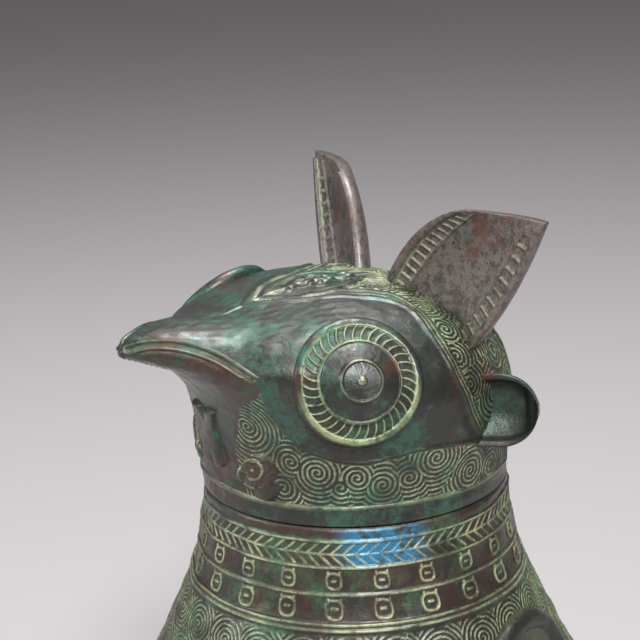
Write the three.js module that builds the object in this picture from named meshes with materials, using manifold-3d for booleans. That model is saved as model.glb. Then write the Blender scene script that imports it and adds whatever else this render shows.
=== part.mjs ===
// Bronze ritual wine vessel in the form of an owl: a hollow body on two legs and a tail, and a lift-off head lid.
// Millimetres, +Z up, the bird faces -Y and is mirrored in X = 0. The floor is Z = 0.
import * as THREE from "three";
import { mergeVertices } from "three/addons/utils/BufferGeometryUtils.js";
import Module from "manifold-3d";

const wasm = await Module();
wasm.setup();

// Driving dimensions
const SEAM_Z = 172; // where the lid meets the rim
const NECK_R = 46; // outside of the neck at the rim
const WALL = 3; // cast wall
const GAP = 0.3; // air between pieces that touch
const BELLY_R = 78; // widest radius of the body
const BELLY_Z = 80;
const BASE_Z = 24; // underside of the belly
const FLANGE_DEPTH = 12; // lid flange inside the neck
const FLANGE_PLAY = 0.7;
const FLANGE_WALL = 2.6;
const COLLAR_RISE = 3.5; // joins the flange to the lid wall
const LIP_R = 1.4; // rounded edge of the rim
const EYE_R = 17.2;
const IRIS_R = 11.4;
const PUPIL_R = 5.7;
const EYE_RISE = 1.5;
const EYE_AZIMUTH = THREE.MathUtils.degToRad(63.5);
const EYE_UP = 45; // above the seam
const EYE_SEAT = 49.5; // from the axis to the cheek at the eye
const AROUND_BODY = 48;
const BODY_ROWS = 20;
const AROUND_HEAD = 40;
const HEAD_ROWS = 26;
const HOLLOW_ROWS = 16;
const HORN_SLANT = 10; // how much longer the outer edge of a horn is at its tip
const EAR_HALF_WIDTH = 10.5;
const EAR_ROUND_FROM = 0.6; // part of the ear's length where its round end begins
const LEG_X = 39;
const LEG_Y = -30;
const TAIL_WIDTH = 46;

const BRONZE = new THREE.Color(0.2, 0.24, 0.2);
const BRONZE_LIGHT = new THREE.Color(0.34, 0.34, 0.3);

const solidOf = (geometry) => {
  const bare = geometry.clone();
  bare.deleteAttribute("normal");
  bare.deleteAttribute("uv");
  const merged = mergeVertices(bare, 1e-3);
  const triVerts = new Uint32Array(merged.index.array);
  const mesh = new wasm.Mesh({
    numProp: 3,
    vertProperties: merged.attributes.position.array,
    triVerts,
  });
  return new wasm.Manifold(mesh);
};

const meshOf = (name, solid, color, roughness) => {
  const made = solid.getMesh();
  const geometry = new THREE.BufferGeometry();
  geometry.setAttribute("position", new THREE.BufferAttribute(made.vertProperties, 3));
  geometry.setIndex(new THREE.BufferAttribute(made.triVerts, 1));
  geometry.computeVertexNormals();
  const material = new THREE.MeshStandardMaterial({ color, roughness, metalness: 0.9 });
  const mesh = new THREE.Mesh(geometry, material);
  mesh.name = name;
  return mesh;
};

// Closed skin over a row of rings that all have the same number of points, with a fan at each end
const loftRings = (rings) => {
  const count = rings[0].length;
  const points = rings.flat();
  const faces = [];
  for (let i = 0; i + 1 < rings.length; i++)
    for (let j = 0; j < count; j++) {
      const a = i * count + j;
      const b = i * count + ((j + 1) % count);
      faces.push(a, b, b + count, a, b + count, a + count);
    }
  const capEnd = (ring, base, flip) => {
    const middle = ring.reduce((sum, p) => sum.add(p), new THREE.Vector3()).divideScalar(count);
    points.push(middle);
    const hub = points.length - 1;
    for (let j = 0; j < count; j++) {
      const a = base + j;
      const b = base + ((j + 1) % count);
      faces.push(...(flip ? [hub, b, a] : [hub, a, b]));
    }
  };
  capEnd(rings[0], 0, true);
  capEnd(rings[rings.length - 1], (rings.length - 1) * count, false);
  const geometry = new THREE.BufferGeometry().setFromPoints(points);
  geometry.setIndex(faces);
  const solid = solidOf(geometry);
  if (solid.volume() > 0) return solid;
  for (let i = 0; i < faces.length; i += 3) faces.splice(i, 3, faces[i], faces[i + 2], faces[i + 1]);
  geometry.setIndex(faces);
  return solidOf(geometry);
};

const lathe = (outline, segments) => {
  const solid = solidOf(new THREE.LatheGeometry(outline, segments).rotateX(Math.PI / 2));
  if (solid.volume() > 0) return solid;
  return solidOf(new THREE.LatheGeometry([...outline].reverse(), segments).rotateX(Math.PI / 2));
};

// Outline of the body from the rim down to the middle of its base, moved in or out by grow
const bodyOutline = (grow, top) => {
  const shape = new THREE.SplineCurve([
    new THREE.Vector2(NECK_R, SEAM_Z - LIP_R),
    new THREE.Vector2(NECK_R + 0.2, SEAM_Z - 7),
    new THREE.Vector2(NECK_R + 2, SEAM_Z - 17),
    new THREE.Vector2(NECK_R + 5, SEAM_Z - 28),
    new THREE.Vector2(NECK_R + 16, SEAM_Z - 53),
    new THREE.Vector2(BELLY_R - 6, BELLY_Z + 20),
    new THREE.Vector2(BELLY_R, BELLY_Z),
    new THREE.Vector2(BELLY_R - 1, BELLY_Z - 20),
    new THREE.Vector2(BELLY_R - 11, BELLY_Z - 38),
    new THREE.Vector2(BELLY_R - 30, BELLY_Z - 52),
  ]);
  const side = shape.getPoints(BODY_ROWS).map((p, i, all) => {
    const before = all[Math.max(i - 1, 0)];
    const after = all[Math.min(i + 1, all.length - 1)];
    const along = after.clone().sub(before).normalize();
    return new THREE.Vector2(p.x - along.y * grow, p.y + along.x * grow);
  });
  const base = BASE_Z - grow;
  return [
    new THREE.Vector2(0, top),
    new THREE.Vector2(side[0].x - LIP_R, top),
    new THREE.Vector2(side[0].x - 0.4 * LIP_R, top - 0.4 * LIP_R),
    ...side,
    new THREE.Vector2(side[side.length - 1].x - 16, base),
    new THREE.Vector2(0, base),
  ];
};

const bodySolid = (grow) => lathe(bodyOutline(grow, SEAM_Z - GAP / 2), AROUND_BODY);

const vesselBody = () => {
  const hollow = lathe(bodyOutline(-WALL, SEAM_Z + WALL), AROUND_BODY);
  return bodySolid(0).subtract(hollow);
};

// Stations of the head from the seam to the tip of the beak: chin and crown as [forward Y, height over the seam]
const HEAD_STATIONS = [
  { chin: [-NECK_R, GAP / 2], crown: [NECK_R, GAP / 2], half: NECK_R },
  { chin: [-NECK_R, 6], crown: [NECK_R, 6], half: NECK_R },
  { chin: [-46.3, 13], crown: [46.8, 17], half: 47.3 },
  { chin: [-47, 22], crown: [46.5, 31], half: 49.2 },
  { chin: [-48.5, 29], crown: [40.5, 44], half: 50.5 },
  { chin: [-51, 34], crown: [29, 53.5], half: 48.5 },
  { chin: [-53.5, 38], crown: [12, 59.5], half: 43.5 },
  { chin: [-56, 40.5], crown: [-9, 61], half: 36.5 },
  { chin: [-58.5, 42.5], crown: [-26, 59], half: 27.5 },
  { chin: [-61.5, 44], crown: [-40, 56], half: 19.5 },
  { chin: [-65, 45.5], crown: [-53, 56], half: 13 },
  { chin: [-68.5, 47], crown: [-63, 55.5], half: 8.5 },
  { chin: [-71.7, 48.2], crown: [-70.3, 53.4], half: 4.6 },
  { chin: [-73.4, 49.2], crown: [-73.2, 51.2], half: 1.2 },
];
const HOLLOW_STATIONS = 9; // the hollow ends at the root of the beak

// Head as a bent cone of tilted oval rings, moved in or out by grow
const headSolid = (grow, stations, rows) => {
  const curveOf = (key) => {
    const stops = stations.map((s) => new THREE.Vector3(0, ...s[key]));
    return new THREE.CatmullRomCurve3(stops, false, "catmullrom", 0.5);
  };
  const chin = curveOf("chin");
  const crown = curveOf("crown");
  const half = new THREE.SplineCurve(stations.map((s, i) => new THREE.Vector2(i, s.half)));
  const rings = [];
  for (let i = 0; i <= rows; i++) {
    const t = i / rows;
    const low = chin.getPoint(t);
    const high = crown.getPoint(t);
    const middle = low.clone().add(high).divideScalar(2);
    const reach = high.clone().sub(low).divideScalar(2);
    reach.setLength(reach.length() + grow);
    const width = Math.max(half.getPoint(t).y + grow, 0.2);
    const ring = [];
    for (let j = 0; j < AROUND_HEAD; j++) {
      const angle = (2 * Math.PI * j) / AROUND_HEAD;
      const point = middle.clone().addScaledVector(reach, -Math.cos(angle));
      ring.push(new THREE.Vector3(width * Math.sin(angle), point.y, SEAM_Z + point.z));
    }
    rings.push(ring);
  }
  return loftRings(rings);
};

const lidHead = () => {
  const outer = headSolid(0, HEAD_STATIONS, HEAD_ROWS);
  const hollow = headSolid(-WALL, HEAD_STATIONS.slice(0, HOLLOW_STATIONS), HOLLOW_ROWS);
  const flangeR = NECK_R - WALL - FLANGE_PLAY;
  const bore = flangeR - FLANGE_WALL;
  const flange = wasm.Manifold.cylinder(FLANGE_DEPTH + 4, flangeR, flangeR, AROUND_BODY);
  const collar = wasm.Manifold.cylinder(COLLAR_RISE, NECK_R - 1, NECK_R - 1, AROUND_BODY);
  const flangeHole = wasm.Manifold.cylinder(FLANGE_DEPTH + 12, bore, bore, AROUND_BODY);
  return outer
    .subtract(hollow)
    .add(flange.translate([0, 0, SEAM_Z - FLANGE_DEPTH]))
    .add(collar.translate([0, 0, SEAM_Z + GAP / 2]))
    .subtract(flangeHole.translate([0, 0, SEAM_Z - FLANGE_DEPTH - 4]));
};

// Cupped leaf that rises along spine, its hollow side facing front, its tip cut at a slant if one is given
const leafSolid = ({ root, spine, front, halfWidth, cup, thick, rows, slant = 0 }) => {
  const along = spine.clone().normalize();
  const across = new THREE.Vector3().crossVectors(along, front).normalize();
  const facing = new THREE.Vector3().crossVectors(across, along).normalize();
  const columns = 8;
  const rings = [];
  for (let i = 0; i <= rows; i++) {
    const t = i / rows;
    const wide = halfWidth(t);
    const centre = root.clone().addScaledVector(spine, t);
    const ring = [];
    for (let k = 0; k < 2 * columns; k++) {
      const forward = k <= columns;
      const u = forward ? -1 + (2 * k) / columns : 1 - (2 * (k - columns)) / columns;
      const edge = 1 - 0.55 * u * u;
      const depth = -cup * (wide / halfWidth(0.45)) * (1 - u * u) + (forward ? 0.5 : -0.5) * thick * edge;
      const point = centre.clone().addScaledVector(across, u * wide).addScaledVector(facing, depth);
      ring.push(point.addScaledVector(along, slant * u * t * t));
    }
    rings.push(ring);
  }
  return loftRings(rings);
};

// Half width of the horn from its root to its broad, slanting tip
const hornHalfWidth = (t) => {
  const swell = Math.pow(Math.sin(Math.PI * (0.16 + 0.7 * t)), 0.7);
  return 3.8 + 15.6 * swell * (1 - 0.1 * t);
};

// Upright horn that leans out from the crown, cut where it meets the head
const horn = (side) =>
  leafSolid({
    root: new THREE.Vector3(side * 15, 9, SEAM_Z + 41),
    spine: new THREE.Vector3(side * 34, 13, 43.5),
    front: new THREE.Vector3(side * 0.5, -0.8, 0.45),
    halfWidth: hornHalfWidth,
    cup: 5,
    thick: 4.2,
    rows: 14,
    slant: side * HORN_SLANT,
  }).subtract(headSolid(GAP, HEAD_STATIONS, HEAD_ROWS));

// Half width of the ear, straight at first and then a round end
const earHalfWidth = (t) => {
  const bend = Math.max(t - EAR_ROUND_FROM, 0) / (1 - EAR_ROUND_FROM);
  return EAR_HALF_WIDTH * Math.sqrt(Math.max(1 - bend * bend, 0.03));
};

// Small scooped lug behind the eye
const ear = (side) =>
  leafSolid({
    root: new THREE.Vector3(side * 38, 9, SEAM_Z + 28),
    spine: new THREE.Vector3(side * 17.5, 20, 1),
    front: new THREE.Vector3(side * 0.75, -0.6, 0.1),
    halfWidth: earHalfWidth,
    cup: 4.5,
    thick: 3.4,
    rows: 15,
  }).subtract(headSolid(GAP, HEAD_STATIONS, HEAD_ROWS));

// Round eye: a raised ring that follows the cheek, an iris dome and a pupil disc
const eye = (side) => {
  const outline = [
    [0, -12],
    [IRIS_R, -12],
    [IRIS_R, 0.2],
    [IRIS_R - 1, 1.8],
    [PUPIL_R + 2, 3.1],
    [PUPIL_R, 3.5],
    [PUPIL_R, 4.3],
    [PUPIL_R - 0.7, 4.8],
    [0, 5],
  ].map(([r, h]) => new THREE.Vector2(r, h));
  const dome = lathe(outline, 36);
  const drum = wasm.Manifold.cylinder(30, EYE_R, EYE_R, 44, true);
  const aim = (solid) =>
    solid
      .rotate([90, 0, side * THREE.MathUtils.radToDeg(EYE_AZIMUTH)])
      .translate([
        side * EYE_SEAT * Math.sin(EYE_AZIMUTH),
        -EYE_SEAT * Math.cos(EYE_AZIMUTH),
        SEAM_Z + EYE_UP,
      ]);
  const ring = headSolid(EYE_RISE, HEAD_STATIONS, HEAD_ROWS).intersect(aim(drum));
  return ring.add(aim(dome)).subtract(headSolid(GAP, HEAD_STATIONS, HEAD_ROWS));
};

// Stout leg with a flat clawed foot, cut where it meets the belly
const leg = (side) => {
  const centre = [side * LEG_X, LEG_Y];
  const shank = lathe(
    [[0, 0], [13, 0], [14, 2], [12.5, 7], [10.5, 14], [12, 26], [17, 42], [20, 58], [18, 66], [0, 66]].map(
      ([r, z]) => new THREE.Vector2(r, z),
    ),
    28,
  ).translate([...centre, 0]);
  const toe = (angle, length) => {
    const claw = wasm.Manifold.sphere(1, 20).scale([5, length, 6]).translate([0, -length * 0.75, 0]);
    return claw.rotate([0, 0, angle]).translate([...centre, 0]);
  };
  const below = wasm.Manifold.cube([120, 120, 20], true).translate([...centre, -10]);
  return shank
    .add(toe(side * 8, 15))
    .add(toe(side * 8 - 38, 14))
    .add(toe(side * 8 + 38, 14))
    .add(toe(side * 8 + 180, 11))
    .subtract(below)
    .subtract(bodySolid(GAP));
};

// Tail: a broad plate that slopes down from the back and stands on the floor as the third foot
const tail = () => {
  const shape = new THREE.Shape();
  shape.moveTo(0, 66);
  shape.lineTo(70, 92);
  shape.quadraticCurveTo(BELLY_R, 60, BELLY_R, 40);
  shape.lineTo(BELLY_R - 2, 0);
  shape.lineTo(BELLY_R - 14, 0);
  shape.quadraticCurveTo(BELLY_R - 16, 22, 46, 30);
  shape.closePath();
  const plate = new THREE.ExtrudeGeometry(shape, { depth: TAIL_WIDTH, bevelEnabled: false, curveSegments: 10 });
  plate.translate(0, 0, -TAIL_WIDTH / 2);
  plate.applyMatrix4(new THREE.Matrix4().makeBasis(
    new THREE.Vector3(0, 1, 0),
    new THREE.Vector3(0, 0, 1),
    new THREE.Vector3(1, 0, 0),
  ));
  return solidOf(plate).subtract(bodySolid(GAP));
};

const vessel = new THREE.Group();
vessel.add(meshOf("vessel_body", vesselBody(), BRONZE, 0.5));
vessel.add(meshOf("lid_head", lidHead(), BRONZE, 0.45));
vessel.add(meshOf("tail", tail(), BRONZE, 0.5));
for (const [name, side] of [["left", -1], ["right", 1]]) {
  vessel.add(meshOf(`leg_${name}`, leg(side), BRONZE, 0.5));
  vessel.add(meshOf(`horn_${name}`, horn(side), BRONZE_LIGHT, 0.4));
  vessel.add(meshOf(`ear_${name}`, ear(side), BRONZE, 0.5));
  vessel.add(meshOf(`eye_${name}`, eye(side), BRONZE, 0.4));
}

export default vessel;
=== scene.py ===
# Looks of the bronze owl vessel: cast ornament as real relief, patina, studio, camera.
# Shapes are worked out in millimetres in the row frame, and become metres when a mesh is made.
import math
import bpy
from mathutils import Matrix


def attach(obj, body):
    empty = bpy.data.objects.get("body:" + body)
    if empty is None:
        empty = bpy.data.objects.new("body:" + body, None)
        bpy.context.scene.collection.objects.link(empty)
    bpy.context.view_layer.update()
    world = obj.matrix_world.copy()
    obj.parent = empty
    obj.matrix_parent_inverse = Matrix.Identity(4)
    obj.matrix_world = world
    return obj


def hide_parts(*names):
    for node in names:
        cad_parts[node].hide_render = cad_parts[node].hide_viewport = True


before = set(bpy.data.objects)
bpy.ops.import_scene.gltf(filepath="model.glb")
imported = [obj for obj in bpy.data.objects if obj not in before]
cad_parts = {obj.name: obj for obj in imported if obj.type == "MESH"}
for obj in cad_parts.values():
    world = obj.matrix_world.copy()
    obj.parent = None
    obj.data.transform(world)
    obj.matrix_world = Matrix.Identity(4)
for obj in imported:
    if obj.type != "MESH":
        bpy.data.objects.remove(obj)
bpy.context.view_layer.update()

from types import SimpleNamespace

import bpy
import numpy as np
from mathutils import Matrix, Vector
from mathutils.kdtree import KDTree

# Driving sizes, as in the construction
MM = 0.001
SEAM_Z = 172.0
NECK_R = 46.0
WALL = 3.0
GAP = 0.3
BELLY_R = 78.0
BELLY_Z = 80.0
BASE_Z = 24.0
FLANGE_DEPTH = 12.0
FLANGE_R = NECK_R - WALL - 0.7
FLANGE_BORE = FLANGE_R - 2.6
COLLAR_RISE = 3.5
LIP_R = 1.4
EYE_R = 17.2
IRIS_R = 11.4
PUPIL_R = 5.7
HORN_SLANT = 10.0  # how much longer the outer edge of a horn is at its tip
EAR_HALF_WIDTH = 10.5
EAR_ROUND_FROM = 0.6  # part of the ear's length where its round end begins
LINE_PITCH = 1.45  # from one cast spiral line to the next
RELIEF = 0.34  # height of the fine cast lines
THREAD_RISE = 0.75  # part of that height that stands above the skin
SEAM_FADE = 3.0  # the casting's waves fade out this near to the seam
FULL_TURN = 2 * np.pi
MIRROR = np.array([-1, 1, 1])

# Camera of the photograph, which is a square of 640 pixels
PHOTO = 640
LENS, SENSOR = 100.0, 36.0
FOCAL_PX = PHOTO * LENS / SENSOR
MM_PER_PX = 0.30
DISTANCE = MM_PER_PX * FOCAL_PX
YAW, ELEVATION, ROLL = math.radians(61.0), math.radians(18.5), math.radians(-2.0)
TARGET = np.array([0.0, 0.0, SEAM_Z + 27.0])
TARGET_PX = (352.0, 384.0)


def camera_axes():
    level = math.cos(ELEVATION)
    back = np.array([math.sin(YAW) * level, -math.cos(YAW) * level, math.sin(ELEVATION)])
    right = np.array([math.cos(YAW), math.sin(YAW), 0.0])
    up = np.cross(back, right)
    turned_right = right * math.cos(ROLL) + up * math.sin(ROLL)
    turned_up = -right * math.sin(ROLL) + up * math.cos(ROLL)
    return turned_right, turned_up, back


RIGHT, UP, BACK = camera_axes()


def to_pixels(points):
    """Photograph pixels of points in millimetres, mirrored to the side that the photograph shows."""
    near = points * 1.0
    near[..., 0] = np.abs(near[..., 0])
    offset = near - TARGET
    depth = DISTANCE - offset @ BACK
    across = TARGET_PX[0] + FOCAL_PX * (offset @ RIGHT) / depth
    down = TARGET_PX[1] - FOCAL_PX * (offset @ UP) / depth
    return np.stack([across, down], -1)


def smooth(low, high, value):
    """0 up to low and 1 from high on, with a soft step between them; high may be the smaller one."""
    t = np.clip((value - low) / (high - low), 0.0, 1.0)
    return t * t * (3.0 - 2.0 * t)


def bump(distance, half_width):
    """A round ridge of height 1 where the distance is 0."""
    return np.clip(1.0 - (distance / half_width) ** 2, 0.0, 1.0)


def to_nearest_whole(value):
    return np.abs(value - np.round(value))


def catmull(keys, shares):
    """Smooth curve through the keys, at shares from 0 to 1."""
    keys = np.asarray(keys, float)
    padded = np.vstack([2 * keys[0] - keys[1], keys, 2 * keys[-1] - keys[-2]])
    reached = np.clip(shares, 0, 1) * (len(keys) - 1)
    i = np.minimum(reached.astype(int), len(keys) - 2)
    u = (reached - i)[:, None]
    a, b, c, d = padded[i], padded[i + 1], padded[i + 2], padded[i + 3]
    return 0.5 * (2 * b + (c - a) * u + (2 * a - 5 * b + 4 * c - d) * u**2 + (3 * b - a - 3 * c + d) * u**3)


def rounded(line, steps=9):
    """The same line with its corners drawn as smooth curves."""
    return [tuple(p) for p in catmull(line, np.linspace(0, 1, (len(line) - 1) * steps + 1))]


def to_polyline(points, line):
    """Distance from each point to a polyline, and the length along it."""
    best = np.full(len(points), 1e9)
    along = np.zeros(len(points))
    length = 0.0
    for start, end in zip(line[:-1], line[1:]):
        start, end = np.asarray(start, float), np.asarray(end, float)
        step = end - start
        size = np.linalg.norm(step)
        t = np.clip((points - start) @ step / size**2, 0, 1)
        gap = points - (start + t[:, None] * step)
        distance = np.linalg.norm(gap, axis=1)
        closer = distance < best
        best = np.where(closer, distance, best)
        along = np.where(closer, length + t * size, along)
        length += size
    return best, along


def inside(points, outline):
    """True where a point is inside the closed outline."""
    held = np.zeros(len(points), bool)
    for (x1, y1), (x2, y2) in zip(outline, outline[1:] + outline[:1]):
        crosses = (y1 > points[:, 1]) != (y2 > points[:, 1])
        slope = (x2 - x1) * (points[:, 1] - y1) / (y2 - y1 + 1e-9) + x1
        held ^= crosses & (points[:, 0] < slope)
    return held


def grid_normals(grid):
    """Unit normals of a grid of rings that close on themselves."""
    around = np.roll(grid, -1, axis=1) - np.roll(grid, 1, axis=1)
    along = np.gradient(grid, axis=0)
    normal = np.cross(around, along)
    return normal / np.maximum(np.linalg.norm(normal, axis=-1, keepdims=True), 1e-9)


def unevenness(points):
    """The slight waves of a hand-made casting, in millimetres."""
    wavelengths = (5.0, 6.5, 9.0, 12.0, 17.0, 26.0, 3.4, 4.1)
    ways_of_each = 3
    steepness = 0.0045
    random = np.random.default_rng(7)
    total = np.zeros(points.shape[:-1])
    for wavelength in wavelengths:
        for _ in range(ways_of_each):
            way = random.normal(size=3)
            way *= FULL_TURN / (wavelength * np.linalg.norm(way))
            total += np.sin(points @ way + random.uniform(0, 6.28)) * steepness * wavelength
    return total


def ring_faces(grid):
    """Points, quads and end triangles of a closed skin over rings, all facing outward."""
    rows, count, _ = grid.shape
    index = np.arange(rows * count).reshape(rows, count)
    after = np.roll(index, -1, axis=1)
    quads = np.stack([index[:-1], after[:-1], after[1:], index[1:]], -1).reshape(-1, 4)
    points = np.vstack([grid.reshape(-1, 3), grid[0].mean(0), grid[-1].mean(0)])
    low, high = rows * count, rows * count + 1
    first = np.stack([np.full(count, low), after[0], index[0]], -1)
    last = np.stack([np.full(count, high), index[-1], after[-1]], -1)
    triangles = np.vstack([first, last])
    halves = np.vstack([quads[:, :3], quads[:, [0, 2, 3]], triangles])
    a, b, c = (points[halves[:, k]] for k in range(3))
    if (np.cross(a, b) * c).sum() < 0:
        return points, quads[:, ::-1], triangles[:, ::-1]
    return points, quads, triangles


def ring_mesh(name, grid, traits):
    """A closed mesh from rings of points in millimetres; traits are painted as point attributes."""
    points, quads, triangles = ring_faces(grid)
    corners = np.concatenate([quads.ravel(), triangles.ravel()])
    starts = np.concatenate([np.arange(len(quads)) * 4, len(quads) * 4 + np.arange(len(triangles)) * 3])
    mesh = bpy.data.meshes.new(name)
    mesh.vertices.add(len(points))
    mesh.vertices.foreach_set("co", (points * MM).ravel())
    mesh.loops.add(len(corners))
    mesh.loops.foreach_set("vertex_index", corners.astype(np.int32))
    mesh.polygons.add(len(starts))
    mesh.polygons.foreach_set("loop_start", starts.astype(np.int32))
    mesh.update(calc_edges=True)
    mesh.validate()
    mesh.polygons.foreach_set("use_smooth", np.ones(len(mesh.polygons), bool))
    for trait, values in traits.items():
        layer = mesh.attributes.new(trait, "FLOAT", "POINT")
        filled = np.zeros(len(mesh.vertices), np.float32)
        flat = np.asarray(values, np.float32).ravel()
        filled[: len(flat)] = flat
        layer.data.foreach_set("value", filled)
    piece = bpy.data.objects.new(name, mesh)
    bpy.context.scene.collection.objects.link(piece)
    return piece


class Coat:
    """What lies on a skin: relief in millimetres, and how pale, dark, red and blue each point is; dark is
    partly plain dark tone and partly painted shade.
    """

    def __init__(self, relief, pale, dark):
        self.relief = relief
        self.pale = pale
        self.dark = dark
        self.red = np.zeros(len(relief))
        self.blue = np.zeros(len(relief))

    def lay(self, mask, **values):
        """Set the named values where the mask is true."""
        for name, value in values.items():
            setattr(self, name, np.where(mask, value, getattr(self, name)))

    def raise_to(self, **values):
        """Raise the named values to at least these."""
        for name, value in values.items():
            setattr(self, name, np.maximum(getattr(self, name), value))


def spiral_coat(off, share=1.0):
    """Cast spirals where the share is 1: pale raised threads, where off is 0, on a ground darkened with painted
    shade between them.
    """
    return Coat(
        relief=RELIEF * (THREAD_RISE - smooth(0.05, 0.6, off)) * share,
        pale=(0.9 - 0.9 * smooth(0.02, 0.32, off)) * share,
        # dark: painted shade in the recesses between the threads, and an even dark tone off the spiral field
        dark=smooth(0.3, 0.75, off) * share + 0.4 * (1 - share),
    )


def spiral_phase(near, turn, radius):
    """Rises by 1 from thread to thread. Inside the radius they wind; outside they are arcs in three sectors."""
    return near / LINE_PITCH + np.where(near < radius, turn, np.round(turn * 3) / 3)


def off_thread(phase):
    """0 on a thread, which is where the phase is a whole number and a half, and 1 midway between two."""
    return 0.5 + 0.5 * np.cos(FULL_TURN * phase)


def around_axis(azimuth, radius, height):
    """The point at an azimuth from the front, as an array."""
    return np.array([math.sin(azimuth) * radius, -math.cos(azimuth) * radius, height])


# Stations of the head from the seam to the tip of the beak:
# chin Y and height over the seam, crown Y and height over the seam, half width
HEAD_STATIONS = [
    (-NECK_R, GAP / 2, NECK_R, GAP / 2, NECK_R),
    (-NECK_R, 6.0, NECK_R, 6.0, NECK_R),
    (-46.3, 13.0, 46.8, 17.0, 47.3),
    (-47.0, 22.0, 46.5, 31.0, 49.2),
    (-48.5, 29.0, 40.5, 44.0, 50.5),
    (-51.0, 34.0, 29.0, 53.5, 48.5),
    (-53.5, 38.0, 12.0, 59.5, 43.5),
    (-56.0, 40.5, -9.0, 61.0, 36.5),
    (-58.5, 42.5, -26.0, 59.0, 27.5),
    (-61.5, 44.0, -40.0, 56.0, 19.5),
    (-65.0, 45.5, -53.0, 56.0, 13.0),
    (-68.5, 47.0, -63.0, 55.5, 8.5),
    (-71.7, 48.2, -70.3, 53.4, 4.6),
    (-73.4, 49.2, -73.2, 51.2, 1.2),
]
HOLLOW_STATIONS = 9  # how many of them the hollow follows
HEAD_ROWS, HEAD_AROUND = 384, 840
HOLLOW_ROWS = 22
BEAK_FROM_Y = -57.0
THROAT_FROM_Y = -50.0
THROAT_HEIGHTS = (26.0, 40.0)
CROWN_FROM = 40.0
CROWN_RIDGE_Y = (-45.0, 20.0)
FRONT_BELOW = 30.0
RIM_HEIGHT = 6.2
RIM_THREAD = 5.6
SHOWN_AZIMUTH = 2.2  # what the photograph shows is laid as far round as this

# Outlines and places on the near side of the head, in pixels of the photograph
BROW = rounded([(240, 306), (300, 300), (350, 297), (400, 305), (432, 338), (458, 385), (482, 440)])
POD_LOW = rounded([(262, 396), (282, 428), (318, 454), (365, 463), (420, 449), (482, 440)])
MOUTH = rounded([(128, 350), (150, 345), (180, 347), (215, 358), (252, 380)])
BARE_FIELD = BROW + POD_LOW[::-1] + MOUTH[::-1] + [(118, 340), (150, 300), (200, 285)]
THROAT = MOUTH + [(262, 396), (240, 408), (236, 450), (248, 500), (150, 540), (100, 400)]
CROWN_LEAF = rounded(
    [(246, 299), (262, 280), (300, 258), (352, 246), (378, 262), (350, 284), (300, 296), (246, 299)]
)
CROWN_RINGS = [(297, 272), (320, 264), (343, 274), (320, 283), (276, 284)]
MOUTH_CORNER = 378  # the lips of the beak end at this row
ROPE_ACROSS = (325, 345)  # the brow's rope becomes plain lines between these
STRIP_FROM = 246
STRIP_WIDTH = 9.5
CURL_LOBES = ((259, 473, 19), (268, 488, 13), (243, 474, 8))
CURL_SPIRAL, CURL_TURN, CURL_REACH = (255.0, 470.0), 9.5, 17
FRONT_BAR = [(211, 408), (211, 430), (221, 462)]
EYE_PX = (360, 382)
# Spirals of the lid and over the brow: a pixel, and a radius in millimetres
LID_SPIRALS = [
    (246, 427, 8.5), (317, 474, 6.5), (357, 479, 4.6), (383, 485, 4.6), (437, 457, 6.0),
    (470, 470, 5.5), (341, 488, 2.6), (410, 478, 3.2), (290, 462, 4.0), (283, 488, 3.4),
]
BROW_SPIRALS = [
    (381, 287, 6.0), (424, 308, 5.5), (456, 356, 3.0), (402, 290, 3.0), (445, 330, 3.4),
    (352, 285, 3.0), (470, 385, 3.2), (405, 270, 4.0), (445, 290, 5.0),
]
# Spirals behind the cheeks, in rows round the back of the head
BACK_ROW_HEIGHTS = (9.5, 21.0, 32.5, 43.0)
BACK_STEP = 0.27  # radians from one to the next
BACK_R = 47.0
BACK_SPIRAL_R = 5.6
BACK_TILT = 0.25


def head_rings(stations, rows, count, grow=0.0):
    """Tilted oval rings along the stations, moved in or out by grow."""
    keys = catmull(stations, np.linspace(0, 1, rows))
    angle = np.linspace(0, FULL_TURN, count, endpoint=False)
    chin_y, chin_z, crown_y, crown_z, half = keys.T
    reach = np.hypot(crown_y - chin_y, crown_z - chin_z) / 2
    stretch = (reach + grow) / np.maximum(reach, 0.01)
    forward = np.outer((crown_y - chin_y) / 2 * stretch, -np.cos(angle)) + ((crown_y + chin_y) / 2)[:, None]
    height = np.outer((crown_z - chin_z) / 2 * stretch, -np.cos(angle)) + ((crown_z + chin_z) / 2)[:, None]
    across = np.outer(np.maximum(half + grow, 0.2), np.sin(angle))
    return np.stack([across, forward, height + SEAM_Z], -1)


def head_surface(points, normals):
    """The points of the head's skin, with where each one lies in the photograph and on the head."""
    azimuth = np.abs(np.arctan2(points[:, 0], -points[:, 1]))
    mirrored = normals * 1.0
    mirrored[:, 0] *= np.sign(points[:, 0] + 1e-9)
    pixels = to_pixels(points)
    return SimpleNamespace(
        points=points,
        normals=normals,
        pixels=pixels,
        height=points[:, 2] - SEAM_Z,
        seen=(mirrored @ BACK > -0.05) & (azimuth < SHOWN_AZIMUTH),
        in_bare_field=inside(pixels, BARE_FIELD),
    )


def place(at, pixel):
    """Index of the point that the photograph shows at a pixel, on the near side and facing the camera."""
    faces_camera = (at.normals @ BACK > 0.12) & (at.points[:, 0] > 0)
    distance = np.linalg.norm(at.pixels - np.asarray(pixel, float), axis=1) + np.where(faces_camera, 0, 1e6)
    return int(np.argmin(distance))


def place_spirals(at, spots):
    """Centre, normal and radius of each spiral and of its mirror image."""
    placed = []
    for across, down, radius in spots:
        i = place(at, (across, down))
        centre, normal = at.points[i], at.normals[i]
        placed.append((centre, normal, radius))
        placed.append((centre * MIRROR, normal * MIRROR, radius))
    return placed


def back_spirals():
    placed = []
    for row, height in enumerate(BACK_ROW_HEIGHTS):
        for step in range(-4, 5):
            azimuth = math.pi + (step + 0.5 * (row % 2)) * BACK_STEP
            normal = around_axis(azimuth, 1.0, BACK_TILT)
            centre = around_axis(azimuth, BACK_R, SEAM_Z + height)
            placed.append((centre, normal / np.linalg.norm(normal), BACK_SPIRAL_R))
    return placed


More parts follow.
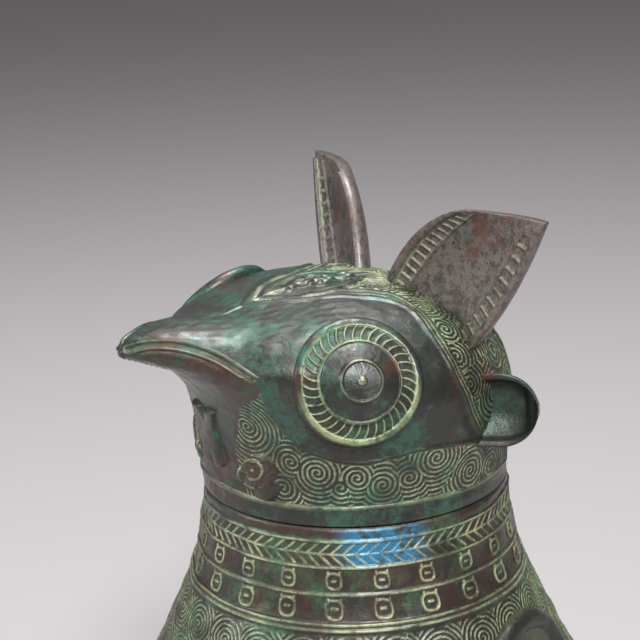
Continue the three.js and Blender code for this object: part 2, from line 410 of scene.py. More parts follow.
def head_threads(points, placed):
    """0 on a thread and 1 midway between two; each point follows the spiral whose edge it is most inside."""
    best = np.full(len(points), 1e9)
    phase = np.zeros(len(points))
    for n, (centre, normal, radius) in enumerate(placed):
        east = np.cross([0, 0, 1.0], normal)
        east /= max(np.linalg.norm(east), 1e-6)
        north = np.cross(normal, east)
        offset = points - centre
        near = np.linalg.norm(offset, axis=1)
        turn = np.arctan2(offset @ north, offset @ east) / FULL_TURN * (1 if n % 2 else -1)
        past = near - radius
        closer = past < best
        best = np.where(closer, past, best)
        phase = np.where(closer, spiral_phase(near, turn, radius), phase)
    return off_thread(phase)


def bare_fields(coat, at):
    """Beak, cheek and throat have no spirals."""
    beak = (at.points[:, 1] < BEAK_FROM_Y) & ~inside(at.pixels, THROAT)
    coat.lay(at.in_bare_field & at.seen | beak, relief=0.35, pale=0.0, dark=0.35)
    coat.lay(beak, dark=0.6)
    low, high = THROAT_HEIGHTS
    under_beak = (at.points[:, 1] < THROAT_FROM_Y) & (at.height < high) & (at.height > low)
    throat = inside(at.pixels, THROAT) & at.seen | under_beak
    coat.lay(throat, relief=0.0, pale=0.0, dark=0.3, red=0.75)


def crown_leaf(coat, at):
    """Leaf outline over the beak, with small rings and dots in it."""
    leaf = inside(at.pixels, CROWN_LEAF) & at.seen & (at.height > CROWN_FROM)
    coat.lay(leaf, relief=0.0, pale=0.0)
    for ring in CROWN_RINGS:
        spot = at.points[place(at, ring)]
        for centre in (spot, spot * MIRROR):
            away = np.linalg.norm(at.points - centre, axis=1)
            ridge = np.maximum(bump(away - 2.6, 0.75), bump(away, 0.9))
            coat.lay(leaf, relief=np.maximum(coat.relief, 0.7 * ridge))
            coat.lay(leaf & (away < 4), pale=np.maximum(coat.pale, 0.5 * bump(away - 1.5, 0.6)))


def brow_strip(coat, at):
    """A rope over the beak that becomes lines along the brow."""
    above, along = to_polyline(at.pixels, BROW)
    strip = (above < STRIP_WIDTH) & ~at.in_bare_field & at.seen
    strip &= (at.pixels[:, 0] > STRIP_FROM) & (at.height > 20)
    rope = np.cos(FULL_TURN * (along + np.abs(above - 4.5) * 1.4) / 4.6)
    lines = np.cos(FULL_TURN * (above - 1.5) / 3.3)
    rope_ends, lines_begin = ROPE_ACROSS
    on_rope = smooth(lines_begin, rope_ends, at.pixels[:, 0])
    strand = on_rope * rope + (1 - on_rope) * lines
    pale = 0.7 * (1 - smooth(-0.7, -0.1, strand))
    coat.lay(strip, relief=0.35 * smooth(-0.4, 0.6, strand) - 0.2, pale=pale)


def raised_edges(coat, at):
    for line, rise in ((BROW, 0.8), (POD_LOW, 0.8), (CROWN_LEAF, 0.45)):
        gap, _ = to_polyline(at.pixels, line)
        edge = bump(gap, 2.4) * at.seen
        coat.raise_to(relief=coat.relief * (1 - edge) + rise * edge)
        beside = 0.4 * bump(gap - 3.0, 1.1) * at.seen * ~at.in_bare_field
        coat.pale = np.maximum(coat.pale * (1 - edge), beside)


def mouth(coat, at):
    """The slot between the two halves of the beak, with a lip on each side."""
    gap, _ = to_polyline(at.pixels, MOUTH)
    slot = bump(gap, 2.6) * at.seen
    coat.relief -= 1.1 * slot
    coat.raise_to(pale=0.25 * slot)
    lip = bump(gap - 4.2, 2.0) * at.seen * (at.pixels[:, 1] < MOUTH_CORNER)
    coat.relief += 0.5 * lip
    coat.raise_to(pale=0.45 * bump(gap - 3.0, 1.1) * at.seen)


def throat_coil(coat, at):
    """The raised coil and bar low on the throat, with a spiral cut into the coil."""
    on_front = at.seen & (at.height < FRONT_BELOW)
    across, down = at.pixels[:, 0], at.pixels[:, 1]
    curl = np.zeros(len(at.points))
    for x, y, size in CURL_LOBES:
        curl = np.maximum(curl, bump(np.hypot(across - x, down - y), size) * on_front)
    bar, _ = to_polyline(at.pixels, FRONT_BAR)
    curl = np.maximum(curl, bump(bar, 5.5) * on_front)
    raised = curl > 0.02
    coat.lay(raised, relief=1.7 * np.sqrt(curl))
    east, south = across - CURL_SPIRAL[0], down - CURL_SPIRAL[1]
    away = np.hypot(east, south)
    coil = away / CURL_TURN + np.arctan2(south, east) / FULL_TURN
    wound = bump(to_nearest_whole(coil) * CURL_TURN, 1.5) * raised * (away < CURL_REACH)
    coat.relief -= 0.8 * wound
    coat.lay(raised, pale=0.8 * wound, red=0.9)


def rim_and_ridge(coat, at):
    """The bare rim over the seam with its thread, and the ridge along the middle of the crown."""
    coat.lay(at.height < RIM_HEIGHT, relief=0.0, pale=0.0, dark=0.35)
    over_thread = at.height - RIM_THREAD
    coat.lay(np.abs(over_thread) < 0.8, relief=0.45 * bump(over_thread, 0.8), pale=0.3)
    front, back = CROWN_RIDGE_Y
    on_crown = (at.height > CROWN_FROM) * (at.points[:, 1] < back) * (at.points[:, 1] > front)
    coat.raise_to(relief=0.6 * bump(at.points[:, 0], 1.2) * on_crown)


def head_coat(at):
    placed = place_spirals(at, LID_SPIRALS + BROW_SPIRALS) + back_spirals()
    coat = spiral_coat(head_threads(at.points, placed))
    for ornament in (bare_fields, crown_leaf, brow_strip, raised_edges, mouth, throat_coil, rim_and_ridge):
        ornament(coat, at)
    fade = smooth(0.0, 0.6, at.height)
    coat.relief = coat.relief * fade
    coat.pale = coat.pale * fade
    return coat


def flange_rings(count):
    """Rings from the seam down the outside of the flange and up its bore."""
    angle = np.linspace(0, FULL_TURN, count, endpoint=False)
    chamfer = 0.5
    profile = [
        (NECK_R - 0.6, GAP / 2), (FLANGE_R + 0.4, GAP / 2), (FLANGE_R, GAP / 2),
        (FLANGE_R, -FLANGE_DEPTH + chamfer), (FLANGE_R - chamfer, -FLANGE_DEPTH),
        (FLANGE_BORE + chamfer, -FLANGE_DEPTH), (FLANGE_BORE, -FLANGE_DEPTH + chamfer),
        (FLANGE_BORE, COLLAR_RISE), (FLANGE_BORE + 1.0, COLLAR_RISE + 0.6),
    ]
    rings = [
        np.stack([radius * np.sin(angle), -radius * np.cos(angle), np.full(count, SEAM_Z + height)], -1)
        for radius, height in profile
    ]
    return np.array(rings)


def head_piece():
    """The skin of the head, with what is known about each point of its outside."""
    rows, count = HEAD_ROWS, HEAD_AROUND
    stations = np.asarray(HEAD_STATIONS)
    outer = head_rings(stations, rows, count)[::-1]
    normals = grid_normals(outer)
    if normals[rows // 2, count // 4, 0] < 0:
        normals = -normals
    at = head_surface(outer.reshape(-1, 3), normals.reshape(-1, 3))
    coat = head_coat(at)
    tip_fade = smooth(0.0, 0.03, np.linspace(0, 1, rows))
    lifted = (coat.relief.reshape(rows, count) + unevenness(outer)) * tip_fade[:, None]
    lifted *= smooth(0.0, SEAM_FADE, outer[..., 2] - SEAM_Z)
    hollow = head_rings(stations[:HOLLOW_STATIONS], HOLLOW_ROWS, count, -WALL)[3:]
    grid = np.concatenate([outer + normals * lifted[..., None], flange_rings(count), hollow])

    def with_inside(values, inner_value):
        return np.vstack([values.reshape(rows, count), np.full((len(grid) - rows, count), inner_value)])

    traits = {
        "pale": with_inside(coat.pale, 0.0),
        "red": with_inside(coat.red, 0.4),
        "dark": with_inside(coat.dark, 0.5),
    }
    return ring_mesh("head_skin", grid, traits), at


# The body: outline from the rim down to just over the base, radius and height
BODY_KEYS = [
    (NECK_R, SEAM_Z - LIP_R),
    (NECK_R + 0.2, SEAM_Z - 7),
    (NECK_R + 2, SEAM_Z - 17),
    (NECK_R + 5, SEAM_Z - 28),
    (NECK_R + 16, SEAM_Z - 53),
    (BELLY_R - 6, BELLY_Z + 20),
    (BELLY_R, BELLY_Z),
    (BELLY_R - 1, BELLY_Z - 20),
    (BELLY_R - 11, BELLY_Z - 38),
    (BELLY_R - 30, BELLY_Z - 52),
]
BODY_ROWS, BODY_AROUND = 330, 960
# What is on the neck: depths below the seam, and counts round it
BARE_LIP = 3.6
NECK_LINES = (4.3, 12.0, 19.8, 28.0, 29.6)
HERRINGBONE = (4.9, 11.4)
HERRINGBONE_COUNT = 84
HERRINGBONE_LEAN = 2.0  # lean of the strokes, in strokes for each height of the band
MOTIF_ROWS = (15.9, 24.0)
MOTIF_COUNT = 22
MOTIF_FIRST = 0.06  # azimuth of one mark of each row
# Spirals of the body: where their field and their first row are below the seam, and their spacing
SPIRALS_FROM = 31.0
FIRST_SPIRAL_ROW = 37.5
SPIRAL_ROW_STEP = 12.2
LAST_SPIRAL_Z = 40.0
SPIRAL_STEP = 13.6
BODY_SPIRAL_R = 5.9
# The blue patch and the coils of the wings
BLUE_AZIMUTH = 1.22
WING_AZIMUTH, WING_Z, WING_R = 2.05, 112.0, 24.0
WING_TURN = 9.0  # from one turn of the wing's coil to the next


def body_spirals():
    """Rings of spirals down the body, each row offset by half a step."""
    placed = []
    keys = catmull(BODY_KEYS, np.linspace(0, 1, 400))
    heights = np.arange(SEAM_Z - FIRST_SPIRAL_ROW, LAST_SPIRAL_Z, -SPIRAL_ROW_STEP)
    for row, height in enumerate(heights):
        radius = np.interp(height, keys[::-1, 1], keys[::-1, 0])
        count = int(round(FULL_TURN * radius / SPIRAL_STEP))
        for n in range(count):
            normal = around_axis((n + 0.5 * (row % 2)) / count * FULL_TURN, 1.0, 0.0)
            placed.append((normal * radius + [0, 0, height], normal, BODY_SPIRAL_R))
    return placed


def body_threads(points, placed):
    """As head_threads, but each point looks only at the nearest spiral, because there are many."""
    tree = KDTree(len(placed))
    for n, (centre, _, _) in enumerate(placed):
        tree.insert(Vector(centre), n)
    tree.balance()
    owner = np.array([tree.find(Vector(p))[1] for p in points])
    centres, normals, radii = (np.array(column)[owner] for column in zip(*placed))
    offset = points - centres
    near = np.linalg.norm(offset, axis=1)
    east = np.cross([0, 0, 1.0], normals)
    turn = np.arctan2(offset[:, 2], (offset * east).sum(1)) / FULL_TURN * np.where(owner % 2, 1, -1)
    return off_thread(spiral_phase(near, turn, radii))


def neck_lines(coat, at):
    for line in NECK_LINES:
        edge = bump(at.below - line, 0.75)
        coat.raise_to(relief=0.5 * edge)
        coat.pale = np.maximum(coat.pale * (1 - edge), 0.85 * bump(at.below - line, 0.42))


def herringbone(coat, at):
    top, low = HERRINGBONE
    from_middle = at.below - (top + low) / 2
    on_band = (at.below > top) & (at.below < low)
    lean = np.abs(from_middle) / (low - top) * HERRINGBONE_LEAN
    stroke = at.azimuth / FULL_TURN * HERRINGBONE_COUNT - lean
    ridge = np.maximum(smooth(0.55, 0.95, np.cos(FULL_TURN * stroke)), bump(from_middle, 0.4))
    coat.lay(on_band, relief=0.42 * ridge - 0.1, pale=np.maximum(coat.pale, 0.85 * ridge))


def neck_marks(coat, at):
    """Two rows of small rounded squares, each with two horns on top and a dash inside."""
    step = FULL_TURN / MOTIF_COUNT
    shift = (at.azimuth - MOTIF_FIRST) / step
    across = (shift - np.round(shift)) * step * at.radius
    for row, depth in enumerate(MOTIF_ROWS):
        down = at.below - depth
        size = 2.1 + 0.35 * row
        square = (np.abs(across / size) ** 3 + np.abs(down / size) ** 3) ** (1 / 3)
        wobble = 0.05 * np.sin(7.0 * np.round(shift) + 2.0 * np.arctan2(down, across))
        outline = bump(square - 1.0 + wobble, 0.16)
        dash = bump(down + 0.1, 0.34) * (np.abs(across) < 0.42 * size)
        horns = bump(np.abs(across) - 0.78 * size, 0.4) * (down < -0.6 * size) * (down > -1.42 * size)
        mark = np.maximum(np.maximum(outline, dash), horns)
        coat.raise_to(relief=0.5 * mark, pale=0.95 * mark)


def wing_coils(coat, at):
    """A raised coil on each side of the body."""
    up = at.points[:, 2] - WING_Z
    for side in (-1, 1):
        arc = (at.azimuth - side * WING_AZIMUTH + np.pi) % FULL_TURN - np.pi
        east = arc * at.radius
        away = np.hypot(east, up)
        coil = away / WING_TURN - np.arctan2(up, -side * east) / FULL_TURN
        ridge = bump(to_nearest_whole(coil) * WING_TURN, 2.7) * (away < WING_R + 1)
        coat.lay(away < WING_R, relief=0.2, pale=0.15)
        coat.raise_to(relief=2.2 * np.sqrt(ridge))
        coat.lay(ridge > 0.05, pale=0.0)


def body_coat(points):
    at = SimpleNamespace(
        points=points,
        below=SEAM_Z - points[:, 2],
        azimuth=np.arctan2(points[:, 0], -points[:, 1]),
        radius=np.hypot(points[:, 0], points[:, 1]),
    )
    on_field = smooth(SPIRALS_FROM, SPIRALS_FROM + 0.8, at.below) * smooth(34, LAST_SPIRAL_Z, points[:, 2])
    coat = spiral_coat(body_threads(points, body_spirals()), on_field)
    for ornament in (neck_lines, herringbone, neck_marks, wing_coils):
        ornament(coat, at)
    coat.lay(at.below < BARE_LIP, relief=0.0, pale=0.0)
    coat.red = smooth(3.8, 2.5, at.below) * 0.9 + smooth(4, 6, at.below) * smooth(30, 28, at.below) * 0.7
    coat.blue = smooth(0.34, 0.12, np.abs(at.azimuth - BLUE_AZIMUTH)) * smooth(12.5, 10.5, at.below)
    return coat


def body_side(rows):
    """Points and outward normals of the outline, closer together at the neck."""
    keys = catmull(BODY_KEYS, np.linspace(0, 1, 900))
    length = np.concatenate([[0], np.cumsum(np.linalg.norm(np.diff(keys, axis=0), axis=1))])
    share = np.linspace(0, 1, rows)
    wanted = length[-1] * (0.62 * share + 0.38 * share**2.2)
    side = np.stack([np.interp(wanted, length, keys[:, 0]), np.interp(wanted, length, keys[:, 1])], -1)
    slope = np.gradient(side, axis=0)
    outward = np.stack([-slope[:, 1], slope[:, 0]], -1)
    return side, outward / np.linalg.norm(outward, axis=1, keepdims=True)


def turned(profile, count):
    """Rings round the axis for a profile of radii and heights."""
    profile = np.asarray(profile, float)
    radius, height = profile[:, 0], profile[:, 1:]
    angle = np.linspace(0, FULL_TURN, count, endpoint=False)
    rings = [np.outer(radius, np.sin(angle)), np.outer(radius, -np.cos(angle)), np.repeat(height, count, 1)]
    return np.stack(rings, -1)


def body_piece():
    rows, count = BODY_ROWS, BODY_AROUND
    side, outward = body_side(rows)
    outer = turned(side, count)
    coat = body_coat(outer.reshape(-1, 3))
    waves = unevenness(outer) * smooth(0.0, SEAM_FADE, SEAM_Z - outer[..., 2])
    shaped = outer + turned(outward, count) * (coat.relief.reshape(rows, count) + waves)[..., None]
    top = SEAM_Z - GAP / 2
    rim_in = NECK_R - WALL
    lip = turned([
        (rim_in, top - LIP_R),
        (rim_in + 0.5, top - 0.4),
        (NECK_R - LIP_R, top),
        (NECK_R - 0.45 * LIP_R, top - 0.25 * LIP_R),
    ], count)
    axis_r = 2.0  # the ends close with a small fan inside this radius
    inner = (side - outward * WALL)[2::14][::-1]
    floor_z = BASE_Z + WALL
    inside_rings = turned(np.vstack([[(axis_r, floor_z), (inner[0][0] - 12, floor_z)], inner]), count)
    base = turned([(side[-1][0] - 16, BASE_Z), (axis_r, BASE_Z)], count)
    grid = np.concatenate([inside_rings, lip, shaped, base])[::-1]
    before, after = len(base), len(inside_rings) + len(lip)

    def padded(values, fill):
        values = values.reshape(rows, count)[::-1]
        return np.vstack([np.full((before, count), fill), values, np.full((after, count), fill)])

    traits = {
        "pale": padded(coat.pale, 0.0),
        "red": padded(coat.red, 0.5),
        "blue": padded(coat.blue, 0.0),
        "dark": padded(coat.dark, 0.4),
    }
    return ring_mesh("body_skin", grid, traits)


# Horns and ears: u runs across the leaf from -1 to 1, v along it from 0 to 1
HORN_RUNGS = 17
HORN_BAND = (0.62, 0.84)
HORN_MESH, EAR_MESH = (150, 220), (60, 70)  # columns on each face, and rows
EAR_SHADE = 0.8


def leaf_piece(name, root, spine, front, half_width, pattern, cup, thick, mesh_size, slant=0.0, shade=0.0):
    """The construction's cupped leaf, finer and with its cast pattern."""
    along = spine / np.linalg.norm(spine)
    across = np.cross(along, front)
    across /= np.linalg.norm(across)
    facing = np.cross(across, along)
    columns, rows = mesh_size
    shares = np.linspace(0, 1, rows)
    wide = half_width(shares)[:, None]
    middle_wide = half_width(np.array([0.45]))[0]
    # Each ring goes over the front face and back over the rear one
    ring = np.concatenate([np.linspace(-1, 1, columns + 1), np.linspace(1, -1, columns + 1)[1:-1]])
    forward = np.arange(len(ring)) <= columns
    v, u = np.meshgrid(shares, ring, indexing="ij")
    relief, pale = pattern(u, v, forward)
    edge = np.sqrt(np.clip(1 - 0.8 * u**6, 0, 1))
    depth = -cup * (wide / middle_wide) * (1 - u**2) + np.where(forward, 0.5, -0.5) * thick * edge + relief
    centre = root + shares[:, None] * spine
    grid = centre[:, None, :] + (u * wide)[..., None] * across + depth[..., None] * facing
    grid = grid + (slant * u * v**2)[..., None] * along
    traits = {
        "pale": pale,
        "red": np.where(forward & (np.abs(u) < 0.95), 0.0, 0.2),
        "dark": np.where(forward & (np.abs(u) < 0.8), shade, 0.0),
    }
    return ring_mesh(name, grid, traits)


def horn_width(v):
    return 3.8 + 15.6 * np.sin(np.pi * (0.16 + 0.7 * v)) ** 0.7 * (1 - 0.1 * v)


def horn_pattern(u, v, forward):
    """A thick rim, then a ladder band down each side and a bare hollow."""
    out = np.abs(u)
    band_from, band_to = HORN_BAND
    rim = smooth(band_to, 0.9, out) * 0.9
    band = (out > band_from) & (out < band_to) & (v > 0.1) & (v < 0.93)
    ladder = smooth(0.45, 0.85, np.cos(FULL_TURN * v * HORN_RUNGS))
    relief = rim + np.where(band, 0.45 * ladder - 0.2, 0) + 0.5 * bump(out - band_from, 0.035)
    pale = np.where(band, 0.4 * (ladder > 0.5), 0) + 0.5 * bump(out - 0.85, 0.02)
    patterned = forward & (v < 0.97)
    return np.where(patterned, relief, 0.0), np.where(patterned, np.clip(pale, 0, 1), 0.0)


def ear_width(v):
    bend = np.maximum(v - EAR_ROUND_FROM, 0) / (1 - EAR_ROUND_FROM)
    return EAR_HALF_WIDTH * np.sqrt(np.maximum(1 - bend**2, 0.03))


def ear_pattern(u, v, forward):
    """A raised edge round a bare hollow."""
    rim = np.maximum(smooth(0.76, 0.86, np.abs(u)), smooth(0.84, 0.92, v))
    return np.where(forward, 0.8 * rim - 1.3 * (1 - rim) * (1 - u**2), 0.0), np.zeros(u.shape)


def horn_piece(side, name):
    return leaf_piece(
        f"horn_skin_{name}",
        root=np.array([side * 15.0, 9.0, SEAM_Z + 41.0]),
        spine=np.array([side * 34.0, 13.0, 43.5]),
        front=np.array([side * 0.5, -0.8, 0.45]),
        half_width=horn_width,
        pattern=horn_pattern,
        cup=5.0,
        thick=4.2,
        mesh_size=HORN_MESH,
        slant=side * HORN_SLANT,
    )


def ear_piece(side, name):
    return leaf_piece(
        f"ear_skin_{name}",
        root=np.array([side * 38.0, 9.0, SEAM_Z + 28.0]),
        spine=np.array([side * 17.5, 20.0, 1.0]),
        front=np.array([side * 0.75, -0.6, 0.1]),
        half_width=ear_width,
        pattern=ear_pattern,
        cup=4.5,
        thick=3.4,
        mesh_size=EAR_MESH,
        shade=EAR_SHADE,
    )


EYE_ROWS, EYE_AROUND = 120, 360
EYE_SPREAD = 0.8  # the eye's skin goes this far past its ring
EYE_DEPTH = 2.0  # and this deep into the cheek
EYE_RAYS = 35
TROUGH_R = EYE_R - 1.6
CHEEK_ROWS, CHEEK_STEP = 24, 6  # the cheek is sampled in this many rows, at every sixth point round


def cheek_height(at, centre, normal, radii, flat):
    """Height of the cheek over the flat grid of the eye, sampled coarsely and filled in between."""
    near = np.linalg.norm(at.points - centre, axis=1) < EYE_R * 1.4
    cheek = at.points[near][::3]
    tree = KDTree(len(cheek))
    for n, p in enumerate(cheek):
        tree.insert(Vector(p), n)
    tree.balance()
    rows, count, _ = flat.shape
    sampled_rows = np.linspace(0, rows - 1, CHEEK_ROWS).astype(int)
    sampled = np.empty((CHEEK_ROWS, count // CHEEK_STEP))
    for a, row in enumerate(sampled_rows):
        for b in range(count // CHEEK_STEP):
            q = flat[row, b * CHEEK_STEP]
            found = tree.find_n(Vector(q - normal * radii[row] ** 2 / 100.0), 4)
            sampled[a, b] = np.mean([(np.array(f[0]) - q) @ normal for f in found])
    filled = np.stack([np.interp(np.arange(rows), sampled_rows, column) for column in sampled.T], 1)
    closed = np.concatenate([filled, filled[:, :1]], 1)
    known = np.arange(0, count + 1, CHEEK_STEP)
    return np.stack([np.interp(np.arange(count), known, row) for row in closed])


def eye_pattern(r, angle, side):
    """Relief and paleness of the outer ring, the curved rays, the iris dome and the pupil; the paleness
    includes a painted highlight on the lower side of the outer ring.
    """
    dome = 1.6 + 2.0 * np.clip((IRIS_R - r) / (IRIS_R - PUPIL_R), 0, 1) ** 0.8
    rays = smooth(0.6, 0.97, np.cos(EYE_RAYS * angle + 0.24 * (r - IRIS_R) ** 2 * side))
    in_trough = (r > IRIS_R) & (r < TROUGH_R)
    relief = np.where(r < IRIS_R, dome, 0.6)
    relief = np.where(in_trough, 0.55 + 0.75 * rays, relief)
    relief += 0.7 * bump(r - IRIS_R, 0.7)
    relief = np.where(r > TROUGH_R, 0.4 + 1.2 * np.sqrt(bump(r - (EYE_R - 0.6), 1.4)), relief)
    relief += 0.55 * (r < PUPIL_R) + 0.5 * bump(r - PUPIL_R, 0.7) + 0.8 * bump(r, 1.4)
    pale = np.where(in_trough, 0.8 * rays, 0.0) + 0.8 * bump(r - (EYE_R - 1.5), 0.4)
    # painted highlight: the outer ring is paler only on its lower side, where the light falls
    pale += 0.75 * bump(r - (EYE_R - 0.7), 0.9) * smooth(0.1, -0.7, np.sin(angle))
    pale += 0.6 * bump(r - IRIS_R, 0.4) + 0.7 * bump(r - PUPIL_R, 0.35) + (r < 1.2)
    return relief, np.clip(pale, 0, 1)


def eye_piece(side, name, at):
    """An eye laid on the cheek, with a skirt and a closed underside."""
    i = place(at, EYE_PX)
    mirror = np.array([side, 1, 1])
    centre, normal = at.points[i] * mirror, at.normals[i] * mirror
    east = np.cross([0, 0, 1.0], normal)
    east /= np.linalg.norm(east)
    north = np.cross(normal, east)
    radii = np.linspace(0.05, EYE_R + EYE_SPREAD, EYE_ROWS)
    angles = np.linspace(0, FULL_TURN, EYE_AROUND, endpoint=False)
    r, angle = np.meshgrid(radii, angles, indexing="ij")
    flat = centre + (r * np.cos(angle))[..., None] * east + (r * np.sin(angle))[..., None] * north
    cheek = cheek_height(at, centre, normal, radii, flat)
    relief, pale = eye_pattern(r, angle, side)
    top = flat + (cheek + relief)[..., None] * normal
    skirt = flat[-1:] + (cheek[-1:] - EYE_DEPTH)[..., None] * normal
    underside = flat[:1] + (cheek[-1:].mean() - EYE_DEPTH) * normal
    pale = np.vstack([pale, np.zeros((2, EYE_AROUND))])
    return ring_mesh(f"eye_skin_{name}", np.concatenate([top, skirt, underside]), {"pale": pale})


# Colours that all the bronzes share
PALE_MINERAL_AND_HIGHLIGHT = (0.40, 0.46, 0.25)
BLACK_PATCH = (0.02, 0.022, 0.018)
GREY_GREEN = (0.15, 0.21, 0.12)
BLACK_SPECK = (0.014, 0.016, 0.012)
AZURITE = (0.02, 0.24, 0.44)
DARK_TONE_AND_SHADE = (0.012, 0.014, 0.011)
DARK_GRAIN = (0.02, 0.02, 0.016)


class Nodes:
    """Makes and joins the nodes of one material."""

    def __init__(self, material):
        self.nodes = material.node_tree.nodes
        self.links = material.node_tree.links
        self.coords = self.nodes.new("ShaderNodeTexCoord")

    def feed(self, socket, value):
        """Give a socket a number, a colour or what another node makes."""
        if isinstance(value, tuple):
            socket.default_value = (*value, 1.0)
        elif isinstance(value, (int, float)):
            socket.default_value = value
        else:
            self.links.new(value, socket)

    def noise(self, scale, detail, rough):
        made = self.nodes.new("ShaderNodeTexNoise")
        for socket, value in (("Scale", scale), ("Detail", detail), ("Roughness", rough)):
            self.feed(made.inputs[socket], value)
        self.feed(made.inputs["Vector"], self.coords.outputs["Object"])
        return made.outputs["Fac"]

    def trait(self, attribute):
        made = self.nodes.new("ShaderNodeAttribute")
        made.attribute_name = attribute
        return made.outputs["Fac"]

    def ramp(self, value, low, high):
        made = self.nodes.new("ShaderNodeMapRange")
        made.interpolation_type = "SMOOTHSTEP"
        for socket, number in (("Value", value), ("From Min", low), ("From Max", high)):
            self.feed(made.inputs[socket], number)
        return made.outputs["Result"]

    def combine(self, operation, a, b):
        made = self.nodes.new("ShaderNodeMath")
        made.operation = operation
        made.use_clamp = True
        self.feed(made.inputs[0], a)
        self.feed(made.inputs[1], b)
        return made.outputs[0]

    def times(self, a, b):
        return self.combine("MULTIPLY", a, b)

    def blend(self, factor, a, b):
        made = self.nodes.new("ShaderNodeMix")
        made.data_type = "RGBA"
        for socket, value in ((0, factor), (6, a), (7, b)):
            self.feed(made.inputs[socket], value)
        return made.outputs[2]


def bronze(name, dark, green, red, green_share, gloss):
    """Old cast bronze: dark metal, patches of green and red patina, and pale mineral on the cast lines; the
    dark trait adds dark tone and painted shade, and the pale trait also carries a painted highlight on the
    eyes' rings.
    """
    material = bpy.data.materials.new(name)
    material.use_nodes = True
    shader = material.node_tree.nodes["Principled BSDF"]
    made = Nodes(material)
    for socket, value in (("Metallic", 0.3), ("Specular IOR Level", 0.6), ("Coat Weight", 0.22)):
        made.feed(shader.inputs[socket], value)
    made.feed(shader.inputs["Coat Roughness"], 0.25)

    patches = made.noise(34.0, 12.0, 0.78)
    grain = made.noise(1500.0, 4.0, 0.6)
    specks = made.noise(420.0, 8.0, 0.75)
    mottled = made.noise(150.0, 12.0, 0.8)
    black = made.times(made.ramp(made.noise(75.0, 10.0, 0.75), 0.54, 0.62), 0.75)
    rust = made.times(made.ramp(made.noise(60.0, 12.0, 0.8), 0.53, 0.62), 0.8)
    red_field = made.times(made.trait("red"), made.ramp(made.noise(95.0, 12.0, 0.8), 0.42, 0.56))
    blue_field = made.times(made.trait("blue"), made.ramp(made.noise(110.0, 12.0, 0.8), 0.43, 0.52))
    # pale where the pale trait is: mineral on the cast lines, and a painted highlight on the eyes' rings
    filled = made.times(made.trait("pale"), made.ramp(mottled, 0.34, 0.54))
    filled = made.times(filled, made.combine("ADD", made.ramp(made.noise(48.0, 8.0, 0.7), 0.40, 0.58), 0.3))

    colour = made.blend(made.ramp(patches, 0.64 - green_share, 0.72 - green_share), dark, green)
    coats = (
        (black, BLACK_PATCH),
        (made.times(made.ramp(mottled, 0.54, 0.66), 0.35), GREY_GREEN),
        (made.times(made.ramp(specks, 0.47, 0.60), 0.75), BLACK_SPECK),
        (made.combine("MAXIMUM", rust, red_field), red),
        (blue_field, AZURITE),
        # dark tone, and painted shade between the cast threads and in the ears' hollows
        (made.times(made.trait("dark"), 0.72), DARK_TONE_AND_SHADE),
        # pale mineral, and the painted highlight on the lower side of each eye's outer ring
        (filled, PALE_MINERAL_AND_HIGHLIGHT),
        (made.times(made.ramp(grain, 0.52, 0.66), 0.45), DARK_GRAIN),
    )
    for share, tone in coats:
        colour = made.blend(share, colour, tone)
    made.feed(shader.inputs["Base Color"], colour)

    dull = made.combine("ADD", made.times(mottled, 0.7), gloss)
    made.feed(shader.inputs["Roughness"], made.combine("MAXIMUM", dull, made.times(filled, 0.75)))
    pits = made.nodes.new("ShaderNodeBump")
    made.feed(pits.inputs["Strength"], 0.8)
    made.feed(pits.inputs["Distance"], 0.0006)
    made.feed(pits.inputs["Height"], made.combine("ADD", made.times(specks, 0.5), made.times(grain, 0.22)))
    made.feed(shader.inputs["Normal"], pits.outputs["Normal"])
    return material


# The studio, in metres
FLOOR_SIZE = 40.0
FLOOR_COLOUR = (0.36, 0.34, 0.345, 1)
SKY_COLOUR, SKY_STRENGTH = (0.78, 0.77, 0.79, 1), 0.3
LAMP_AIM = Vector((0, 0, 0.17))
# Where each lamp is, the width of its disk, and its watts
LAMPS = {
    "key": ((0.95, -0.35, 1.15), 0.35, 30.0),
    "top": ((-0.3, 0.2, 1.3), 0.4, 16.0),
    "side": ((-0.5, -1.3, 0.7), 0.4, 9.0),
}


def make_floor():
    mesh = bpy.data.meshes.new("floor")
    half = FLOOR_SIZE / 2
    corners = [(-half, -half, 0), (half, -half, 0), (half, half, 0), (-half, half, 0)]
    mesh.from_pydata(corners, [], [(0, 1, 2, 3)])
    floor = bpy.data.objects.new("floor", mesh)
    bpy.context.scene.collection.objects.link(floor)
    material = bpy.data.materials.new("floor_pale")
    material.use_nodes = True
    shader = material.node_tree.nodes["Principled BSDF"]
    shader.inputs["Base Color"].default_value = FLOOR_COLOUR
    shader.inputs["Roughness"].default_value = 0.9
    mesh.materials.append(material)
    return floor


def make_lamp(name, spot, size, watts):
    light = bpy.data.lights.new(name, "AREA")
    light.shape = "DISK"
    light.size = size
    light.energy = watts
    lamp = bpy.data.objects.new(name, light)
    lamp.location = spot
    lamp.rotation_euler = (LAMP_AIM - Vector(spot)).to_track_quat("-Z", "Y").to_euler()
    bpy.context.scene.collection.objects.link(lamp)
    return lamp


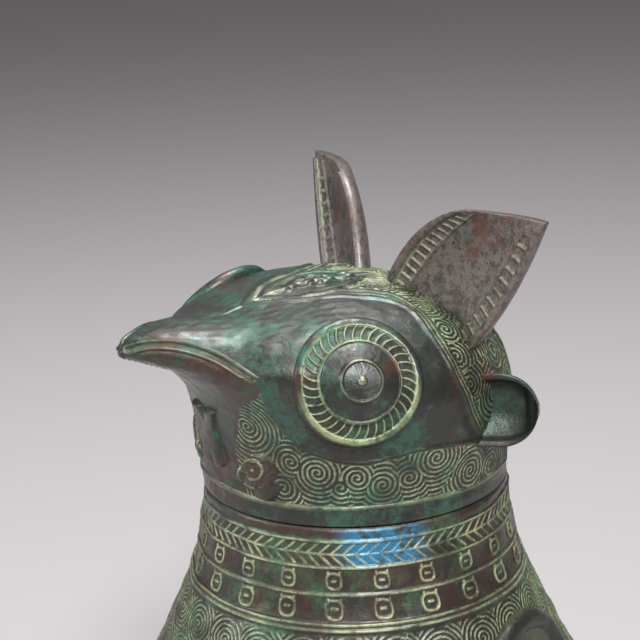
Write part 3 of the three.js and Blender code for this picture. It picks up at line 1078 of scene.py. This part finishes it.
def studio():
    floor = make_floor()
    world = bpy.data.worlds.new("studio")
    world.use_nodes = True
    background = world.node_tree.nodes["Background"]
    background.inputs["Color"].default_value = SKY_COLOUR
    background.inputs["Strength"].default_value = SKY_STRENGTH
    bpy.context.scene.world = world
    for name, lamp in LAMPS.items():
        make_lamp(name, *lamp)


def make_camera():
    lens = bpy.data.cameras.new("camera")
    lens.lens = LENS
    lens.sensor_width = SENSOR
    lens.shift_x = (PHOTO / 2 - TARGET_PX[0]) / PHOTO
    lens.shift_y = (TARGET_PX[1] - PHOTO / 2) / PHOTO
    camera = bpy.data.objects.new("camera", lens)
    spot = (TARGET + BACK * DISTANCE) * MM
    turn = Matrix([RIGHT, UP, BACK]).transposed().to_4x4()
    camera.matrix_world = Matrix.Translation(Vector(spot)) @ turn
    bpy.context.scene.collection.objects.link(camera)
    bpy.context.scene.camera = camera


def finish_piece(piece, body, material, node):
    piece.data.materials.append(material)
    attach(piece, body)
    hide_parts(node)


make_camera()
studio()
bpy.context.scene.view_settings.view_transform = "Standard"

body_bronze = bronze(
    "body_bronze",
    dark=(0.020, 0.018, 0.013),
    green=(0.045, 0.13, 0.06),
    red=(0.06, 0.017, 0.010),
    green_share=0.15,
    gloss=0.02,
)
head_bronze = bronze(
    "head_bronze",
    dark=(0.018, 0.021, 0.016),
    green=(0.026, 0.10, 0.066),
    red=(0.07, 0.02, 0.011),
    green_share=0.15,
    gloss=0.0,
)
horn_bronze = bronze(
    "horn_bronze",
    dark=(0.14, 0.115, 0.105),
    green=(0.06, 0.12, 0.085),
    red=(0.11, 0.045, 0.032),
    green_share=0.09,
    gloss=0.04,
)

head, on_head = head_piece()
finish_piece(head, "lid", head_bronze, "lid_head")
finish_piece(body_piece(), "vessel", body_bronze, "vessel_body")
for side, name in ((-1, "left"), (1, "right")):
    finish_piece(eye_piece(side, name, on_head), "lid", head_bronze, f"eye_{name}")
    finish_piece(horn_piece(side, name), "lid", horn_bronze, f"horn_{name}")
    finish_piece(ear_piece(side, name), "lid", head_bronze, f"ear_{name}")
for name in ("leg_left", "leg_right", "tail"):
    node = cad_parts[name]
    node.data.materials.clear()
    node.data.materials.append(body_bronze)
